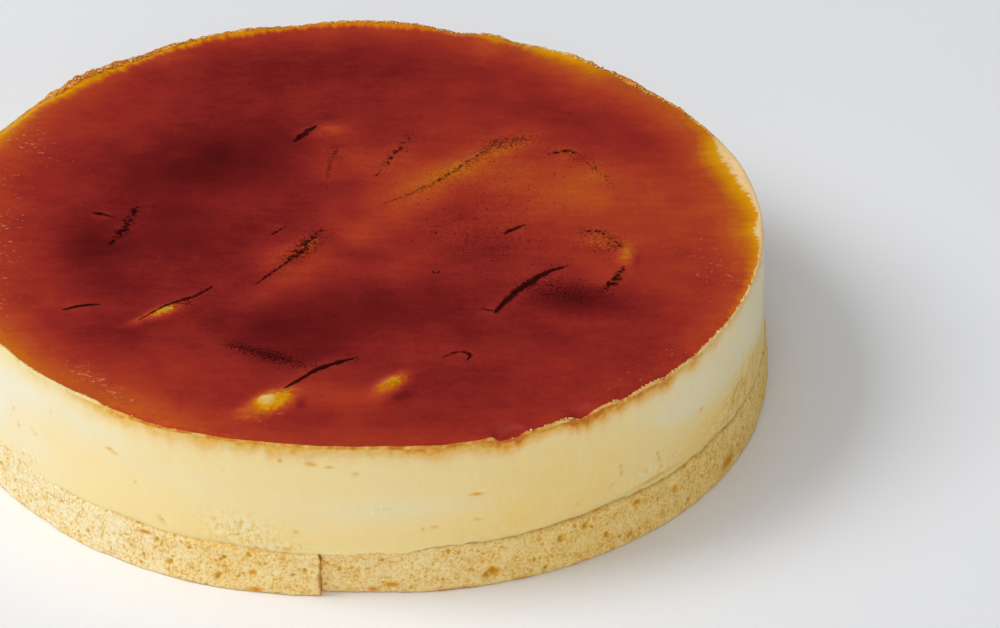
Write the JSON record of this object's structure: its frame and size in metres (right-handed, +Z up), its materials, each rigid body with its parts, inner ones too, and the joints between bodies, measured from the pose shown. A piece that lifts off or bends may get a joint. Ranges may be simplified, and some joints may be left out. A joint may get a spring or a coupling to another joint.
{
  "type": "chiboust cake",
  "caption": "Round layer cake: a low sponge base, a thick layer of set cream and a glossy caramel glaze inside a thin ragged rim.",
  "frame": {"origin": "centre of the flat underside, on the cake's upright axis", "axes": "+Z up through the glaze; -Y towards the front, where the joint in the sponge shows"},
  "size_m": [0.1831, 0.1834, 0.0378],
  "materials": {
    "sponge_left": null,
    "sponge_right": null,
    "cream": null,
    "glaze": null
  },
  "bodies": {
    "root": {"sponge_left": "sponge_left", "sponge_right": "sponge_right", "cream": "cream", "glaze": "glaze"}
  },
  "joints": []
}
